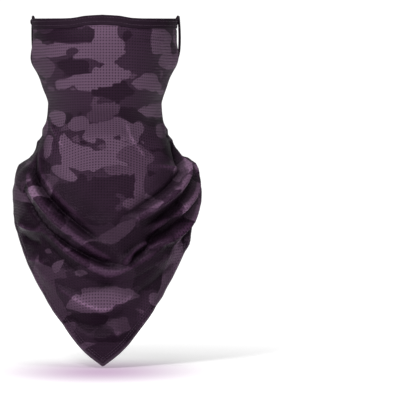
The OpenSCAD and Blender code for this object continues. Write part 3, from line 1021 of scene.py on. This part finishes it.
def tape_section(width, rows_in):
    """Outline of the folded tape as [distance in, lift], round at its fold and pressed in at the
    stitch rows."""
    middle = CLOTH_T / 2 + LAYER_GAP + TAPE_T / 2
    leg = np.linspace(width, FOLD_START, 13)
    swell = TAPE_SWELL * np.sin(np.pi * np.clip(leg / width, 0, 1)) ** 0.7
    for row in rows_in:
        swell -= ROW_PRESS * hump(leg, row, ROW_PRESS_HALF)
    turnings = np.radians(np.linspace(-80, 80, 9))
    fold = np.stack([0.1 - FOLD_BULGE * np.cos(turnings), -middle * np.sin(turnings)], -1)
    outer_leg = np.stack([leg, middle + swell], -1)
    inner_leg = np.stack([leg[::-1], -middle - swell[::-1] * 0.5], -1)
    path = np.vstack([outer_leg, fold, inner_leg])
    ahead = unit(np.gradient(path, axis=0))
    side = np.stack([ahead[:, 1], -ahead[:, 0]], -1) * TAPE_T / 2
    cuts = []
    for end, out in ((0, -CUT_OUT), (-1, CUT_OUT)):
        for face in (CUT_SHARE, -CUT_SHARE):
            cuts.append(path[[end]] + side[[end]] * face + ahead[[end]] * out)
    outside = path + side
    inside = path - side
    return np.vstack([cuts[0], outside, cuts[2], cuts[3], inside[::-1], cuts[1]])


def section_sweep(edge, section, pucker=0.0):
    """A skin of one outline carried along an edge, lightly puckered."""
    along, distance, lift = edge.along[:, None], section[None, :, 0], section[None, :, 1]
    rings = edge.place(along, distance, lift)
    if pucker:
        wave = pucker * wander(along / TAPE_PUCKER_CELL, along * 0 + 2.5)
        outward = unit(edge.place(along, distance, lift + 0.5) - rings)
        rings = rings + outward * (wave * np.sign(lift))[..., None]
    return tube(rings, edge.along, lengths(section))


for name, edge, width, rows_in in (("top_binding", top_edge, TOP_W, TOP_ROWS),
                                   ("nape_binding", nape_edge, NAPE_W, NAPE_ROWS)):
    tape = make_object(f"{name}_tape", *section_sweep(edge, tape_section(width, rows_in), TAPE_PUCKER))
    keep(tape, "mask", binding_tape, "binding_tape", name)

# How far the turned-up hem lies from the panel's inner face
HEM_GAP = 0.25
# How worn and how much inside the hem's cloth counts as, for its print
HEM_SHOWN = 0.3


def hem_section():
    """The turned-up hem: a leg of cloth inside, which comes round the fold at the panel's edge."""
    out = CLOTH_T / 2 + HEM_GAP
    row = HEM_ROWS[0]
    return np.array([
        [0.15, -out], [2, -out - 0.15], [row, -out - 0.05], [HEM_STITCH, -out], [HEM_W, -out - 0.1],
        [HEM_W + 0.15, -out - 0.45], [HEM_W, -out - HEM_T], [HEM_STITCH, -out - HEM_T],
        [row, -out - HEM_T - 0.05], [2, -out - HEM_T - 0.2], [0.3, -out - HEM_T], [-0.35, -out - 0.45],
        [-0.75, -0.45], [-0.85, 0.0], [-0.6, CLOTH_T / 2 + 0.02], [-0.2, CLOTH_T / 2 + 0.1], [-0.05, 0.0],
    ])


points, faces, uv = section_sweep(hem_edge, hem_section())
hem_values = {name: np.full(len(points), HEM_SHOWN) for name in ("inside", "wear")}
hem_band = make_object("turned_hem_band", points, faces, uv, hem_values)
keep(hem_band, "mask", camo_mesh, "camo_mesh_knit", "turned_hem")

# --- Threads --------------------------------------------------------------------------------

THREAD_R = 0.30
STITCH_PITCH = 2.9
STITCH_LENGTH = 2.2
# Along a stitch: places as shares of its half length, and its thickness there
STITCH_PLACES = np.array([-1, -0.82, -0.4, 0.0, 0.4, 0.82, 1])
STITCH_TAPER = np.array([0.35, 0.8, 1, 1, 1, 0.8, 0.35])
STITCH_DIVE = 0.35
SHORT_TAPER = np.array([0.4, 0.9, 1, 0.9, 0.4])
LOOPER_SHARE = 0.8
SEAM_SHARE = 0.85
# The number that the material counts as a thread's way round
THREAD_ROUND = 1.5


def stitch_row(edge, distance, lift):
    """Separate stitches along an edge, each a short loop of thread that dives at both ends."""
    count = int(edge.length / STITCH_PITCH)
    centres = (np.arange(count) + 0.5) * edge.length / count
    along = centres[:, None] + STITCH_PLACES[None] * STITCH_LENGTH / 2
    dive = STITCH_DIVE * np.abs(STITCH_PLACES) ** 3
    line = edge.place(along, distance, lift - dive[None])
    above = edge.place(along, distance, lift + 1 - dive[None])
    rings = thread_rings(line, above, THREAD_R * STITCH_TAPER)
    around = np.linspace(0, 2 * math.pi * THREAD_R, rings.shape[2])
    return [tube(ring, along_one, around) for ring, along_one in zip(rings, along)]


def thread_rings(line, above, radius, sides=6):
    """Rings of thread round lines of points; above is a point out of the cloth over each point."""
    ahead = unit(np.gradient(line, axis=-2))
    out = unit(above - line)
    across = unit(np.cross(ahead, out))
    angle = np.linspace(0, 2 * math.pi, sides, endpoint=False)
    circle = out[..., None, :] * np.cos(angle)[:, None] + across[..., None, :] * np.sin(angle)[:, None]
    return line[..., None, :] + circle * np.asarray(radius)[..., None, None]


def running_thread(line, above, share):
    """One unbroken thread, at a share of a needle thread's thickness."""
    rings = thread_rings(line, above, np.full(len(line), THREAD_R * share), 5)
    return tube(rings, lengths(line), np.linspace(0, THREAD_ROUND, 5))


def short_stitches(lines, above, alongs):
    """Separate stitches of five places each."""
    rings = thread_rings(lines, above, THREAD_R * SHORT_TAPER)
    return [tube(ring, along, np.linspace(0, THREAD_ROUND, 6)) for ring, along in zip(rings, alongs)]


def zigzag(edge, near, far, lift):
    """One running thread that crosses between two distances in, as a looper thread does."""
    count = int(edge.length / STITCH_PITCH) * 2
    knots = np.linspace(0.5, edge.length - 0.5, count)
    steps = np.linspace(0, count - 1, (count - 1) * 3 + 1)
    along = np.interp(steps, np.arange(count), knots)
    swing = 0.5 - 0.5 * np.cos(np.pi * steps)
    distance = near + (far - near) * swing
    line = edge.place(along, distance, lift)
    return running_thread(line, edge.place(along, distance, lift + 1), LOOPER_SHARE)


def keep_thread(name, parts, node):
    """Threads as one piece, sewn to the mask."""
    keep(make_object(name, *join_parts(parts)), "mask", thread, "sewing_thread", node)


# How far a thread's middle stands out of the face that it is sewn on
THREAD_PROUD = 0.14
HEM_THREAD_PROUD = 0.12

tape_face = CLOTH_T / 2 + LAYER_GAP + TAPE_T + THREAD_PROUD
hem_face = CLOTH_T / 2 + HEM_THREAD_PROUD
hem_inner_face = CLOTH_T / 2 + HEM_GAP + HEM_T + THREAD_PROUD
SEWN = [
    ("top_binding", "top", top_edge, TOP_ROWS, tape_face, tape_face),
    ("nape_binding", "nape", nape_edge, NAPE_ROWS, tape_face, tape_face),
    ("hem", "hem", hem_edge, HEM_ROWS, hem_face, hem_inner_face),
]
for name, node, edge, rows_in, face, _ in SEWN:
    stitches = sum((stitch_row(edge, distance, face) for distance in rows_in), [])
    keep_thread(f"{name}_stitches", stitches, f"{node}_needle_threads")
for name, node, edge, rows_in, _, inner_face in SEWN:
    keep_thread(f"{name}_looper", [zigzag(edge, *rows_in, -inner_face)], f"{node}_looper_thread")

SEAM_TOP = UPPER_EDGE[-1, 1] - NAPE_W - 1
SEAM_LOW = -BACK_HEM_DROP + HEM_W + 1
SEAM_HALF = 1.35
SEAM_STITCH = 2.3
SEAM_LIFT = 0.25
# How much higher its three rows of stitches lie, and the half length of one as a share of the pitch
SEAM_ROW_LIFT = 0.2
SEAM_STITCH_HALF = 0.42


def back_seam(lift):
    """The flat seam at the centre of the back: thread laced across the butted edges."""
    count = int((SEAM_TOP - SEAM_LOW) / SEAM_STITCH) * 2
    steps = np.linspace(0, count, count * 4 + 1)
    z = SEAM_TOP + (SEAM_LOW - SEAM_TOP) * steps / count
    swing = np.cos(np.pi * steps)
    turn = 180 + SEAM_HALF * np.clip(swing * 1.3, -1, 1)
    face = np.sign(lift)
    line, normal = over_cloth(turn, z, lift)
    parts = [running_thread(line, line + normal * face, SEAM_SHARE)]
    for side in (-SEAM_HALF, 0, SEAM_HALF):
        centres = np.arange(SEAM_LOW + 1, SEAM_TOP - 1, SEAM_STITCH)
        offsets = np.array([-1, -0.6, 0, 0.6, 1]) * SEAM_STITCH * SEAM_STITCH_HALF
        z = centres[:, None] + offsets[None]
        turn = np.full(z.shape, 180.0 + side)
        line, normal = over_cloth(turn, z, lift + SEAM_ROW_LIFT * face)
        parts += short_stitches(line, line + normal * face, z)
    return parts


keep_thread("back_seam_outer", back_seam(CLOTH_T / 2 + SEAM_LIFT), "back_seam_outer_thread")
keep_thread("back_seam_inner", back_seam(-CLOTH_T / 2 - SEAM_LIFT), "back_seam_inner_thread")

# --- Ear loops ------------------------------------------------------------------------------

# The left strap's centre line between the hinge line's two ends
STRAP = [
    [76.4, 118.2, -4.6], [77, 122.5, -3.2], [77.6, 128, -2.2], [78.2, 134, -3], [78.6, 139.5, -7],
    [79, 145, -14], [79.2, 150, -23], [79, 153, -32], [78.2, 153.2, -40], [76.2, 150.6, -46.8],
    [73, 147.5, -51], [69.6, 145.6, -53.2],
]
# Places on the bindings, turn and height, that the strap's sewn ends run over
STRAP_TOP_END = ((94.5, -6.6), (98, -6.2))
STRAP_LOW_END = ((128.5, -58.4), (132, -61.0))
STRAP_W = 5.8
STRAP_W_BACK = 4.2
# The share of its length over which it narrows
STRAP_NARROWS = 0.55
STRAP_T = 2.7
STRAP_LIFT = 2.1
STRAP_STEP = 0.9
# Its stitches: how far in from the edge, how deep, how far apart, and half the length of one
STRAP_ROW_IN = 1.05
STRAP_ROW_DEEP = 0.12
STRAP_STITCH = 2.6
STRAP_STITCH_HALF = 0.95
# The nip that they press in, and the split where the tape's edges meet
NIP_DEPTH = 0.16
NIP_HALF = 0.6
SPLIT_DEPTH = 0.45
SPLIT_HALF = 0.35
# The elastic: half its thickness, and how much narrower than the strap each side is
ELASTIC_HALF_T = 0.35
ELASTIC_IN = 1.5


def strap_line():
    """Evenly spaced points along the left strap's middle, and the distance along it."""
    ends = [[over_cloth(*place, STRAP_LIFT)[0] for place in end] for end in (STRAP_TOP_END, STRAP_LOW_END)]
    rough = through(np.vstack([ends[0], STRAP, ends[1]]), 400)
    along = lengths(rough)
    even = np.arange(0, along[-1], STRAP_STEP)
    return np.stack([np.interp(even, along, rough[:, c]) for c in range(3)], -1), even


def strap_frames(line):
    """Unit directions along the strap, out of its face and across it."""
    ahead = unit(np.gradient(line, axis=0))
    out = unit(np.cross(ahead, np.cross([1, 0.15, 0], ahead)))
    return ahead, out, np.cross(out, ahead)


def strap_width(along):
    share = np.clip(along / (along[-1] * STRAP_NARROWS), 0, 1)
    return STRAP_W + (STRAP_W_BACK - STRAP_W) * share


def strap_rings(line, along, section):
    """section gives the outline for a width: [towards the ear, away from the head]."""
    _, out, across = strap_frames(line)
    width = strap_width(along)
    rings = []
    for k in range(len(line)):
        outline = section(width[k], along[k])
        rings.append(line[k] + across[k] * outline[:, :1] + out[k] * outline[:, 1:])
    return np.array(rings)


def boxy_round(count, width, height, width_power, height_power):
    """A round outline of this size, squarer for lower powers."""
    angle = np.linspace(0, 2 * math.pi, count, endpoint=False)
    x, y = np.cos(angle), np.sin(angle)
    return (np.sign(x) * np.abs(x) ** width_power * width / 2,
            np.sign(y) * np.abs(y) ** height_power * height / 2)


def folded_tape(width, along):
    """A flattened round outline, nipped at the stitch row and split where the tape's edges meet."""
    x, y = boxy_round(24, width, STRAP_T, 0.72, 0.8)
    tightness = 0.6 + 0.4 * math.cos(along * 2 * math.pi / STRAP_STITCH)
    nip = NIP_DEPTH * hump(x, width / 2 - STRAP_ROW_IN, NIP_HALF) * tightness
    y = y - np.sign(y) * nip
    split = hump(y, 0, SPLIT_HALF) * (x > 0)
    return np.stack([x - SPLIT_DEPTH * split, y], -1)


def elastic_core(width, along):
    """A flat outline that lies inside the folded tape."""
    x, y = boxy_round(12, width - 2 * ELASTIC_IN, 2 * ELASTIC_HALF_T, 0.5, 0.5)
    return np.stack([x - 0.2, y], -1)


def strap_stitches(line, along):
    """The row of stitches that closes the folded tape."""
    _, out, across = strap_frames(line)
    inset = (strap_width(along) / 2 - STRAP_ROW_IN)[:, None]
    seam = line + across * inset + out * (STRAP_T / 2 - STRAP_ROW_DEEP)
    centres = np.arange(6, along[-1] - 6, STRAP_STITCH)
    spots = centres[:, None] + np.array([-1, -0.7, 0, 0.7, 1]) * STRAP_STITCH_HALF
    points = np.stack([np.interp(spots, along, seam[:, c]) for c in range(3)], -1)
    up = np.stack([np.interp(spots, along, out[:, c]) for c in range(3)], -1)
    return short_stitches(points, points + up, spots)


def mirror(points, faces, uv):
    return points * [-1, 1, 1], [face[::-1] for face in faces], uv


def side_of(parts, side):
    return parts if side == "left" else mirror(*parts)


# Each bartack's place, turn and height, its swings, half width in degrees and half height
TACKS = {"top": (97.2, -6.3), "lower": (128.8, -58.6)}
TACK_SWINGS = 9
TACK_HALF_TURN = 0.85
TACK_HALF = 1.5


def bartack(turn, z, side):
    """A dense bar of zigzag thread over a strap's end."""
    steps = np.linspace(0, TACK_SWINGS, TACK_SWINGS * 4 + 1)
    turns = turn + np.linspace(-TACK_HALF_TURN, TACK_HALF_TURN, len(steps))
    heights = z + TACK_HALF * np.clip(np.cos(np.pi * steps) * 1.2, -1, 1)
    line, normal = over_cloth(turns, heights, STRAP_LIFT + STRAP_T / 2 + 0.1)
    return side_of(running_thread(line, line + normal, LOOPER_SHARE), side)


line, along = strap_line()
around = np.linspace(0, 15, 24)
for side in ("left", "right"):
    parts = side_of(tube(strap_rings(line, along, folded_tape), along, around), side)
    strap = make_object(f"{side}_strap_tape", *parts)
    keep(strap, None, strap_tape, "binding_tape", f"{side}_ear_strap")
    inner = slice(6, -6)
    parts = side_of(tube(strap_rings(line, along, elastic_core)[inner], along[inner], around[:12]), side)
    core = make_object(f"{side}_strap_elastic", *parts)
    keep(core, None, elastic, "elastic", f"{side}_ear_elastic")
    parts = side_of(join_parts(strap_stitches(line, along)), side)
    stitches = make_object(f"{side}_strap_stitches", *parts)
    keep(stitches, None, thread, "sewing_thread", f"{side}_strap_stitching")
    for piece in (strap, core, stitches):
        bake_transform(piece)
    for place, spot in TACKS.items():
        keep_thread(f"{side}_{place}_tack", [bartack(*spot, side)], f"{side}_{place}_bartack")

# --- Floor and surroundings -----------------------------------------------------------------

FLOOR_RADIUS = 1.1
FLOOR_SIDES = 96
# The painted shadow under the tip, a purple tint: how far in front of the origin its middle is, and its
# half sizes, in metres
PAINTED_SHADOW_FORWARD = 0.04
PAINTED_SHADOW_HALF = (0.15, 0.24)
# The world's strength as a light and as seen behind the object
WORLD_LIGHT = 0.10
WORLD_SEEN = 1.1


def make_floor():
    """A white disc, as bright at its rim as the white surroundings, with a faint purple painted shadow
    under the tip.
    """
    turns = np.linspace(0, 2 * math.pi, FLOOR_SIDES, endpoint=False)
    rim = [(FLOOR_RADIUS * math.cos(t), FLOOR_RADIUS * math.sin(t), FLOOR_Z) for t in turns]
    mesh = bpy.data.meshes.new("floor")
    mesh.from_pydata(rim, [], [tuple(range(len(rim)))])
    floor = bpy.data.objects.new("floor", mesh)
    bpy.context.collection.objects.link(floor)
    nodes = Nodes("floor")
    place = nodes.add("ShaderNodeTexCoord", output=3)
    centred = nodes.add("ShaderNodeVectorMath", place, (0.0, PAINTED_SHADOW_FORWARD, 0.0), operation="ADD")
    scaled = nodes.add("ShaderNodeVectorMath", centred, (1 / PAINTED_SHADOW_HALF[0], 1 / PAINTED_SHADOW_HALF[1], 0.0),
                       operation="MULTIPLY")
    away = nodes.add("ShaderNodeVectorMath", scaled, operation="LENGTH", output=1)
    share = nodes.span(away, 0.0, 1.0)
    # painted shadow: inside the ellipse under the tip the floor's colour and the colour of its glow turn
    # darker purple
    colour = nodes.mix(share, (0.32, 0.23, 0.32, 1), (0.62, 0.62, 0.62, 1))
    glow_colour = nodes.mix(share, (0.62, 0.48, 0.62, 1), (1.0, 1.0, 1.0, 1))
    outwards = nodes.add("ShaderNodeVectorMath", place, operation="LENGTH", output=1)
    glow = nodes.span(outwards, 0.2, 0.9, 0.48, 1.0)
    nodes.put(nodes.shader.inputs["Emission Color"], glow_colour)
    nodes.put(nodes.shader.inputs["Emission Strength"], glow)
    floor.data.materials.append(nodes.finish(colour, 0.9, 0.0, 0.5, 0.1))


def make_world():
    """A white studio: soft light all round, and pure white behind the object."""
    world = bpy.data.worlds.new("studio")
    world.use_nodes = True
    tree = world.node_tree
    background = tree.nodes["Background"]
    seen = tree.nodes.new("ShaderNodeLightPath").outputs["Is Camera Ray"]
    strength = tree.nodes.new("ShaderNodeMapRange")
    strength.inputs["To Min"].default_value = WORLD_LIGHT
    strength.inputs["To Max"].default_value = WORLD_SEEN
    tree.links.new(seen, strength.inputs["Value"])
    tree.links.new(strength.outputs[0], background.inputs["Strength"])
    background.inputs["Color"].default_value = (1, 1, 1, 1)
    bpy.context.scene.world = world


make_floor()
make_world()
bpy.context.scene.view_settings.view_transform = "Standard"
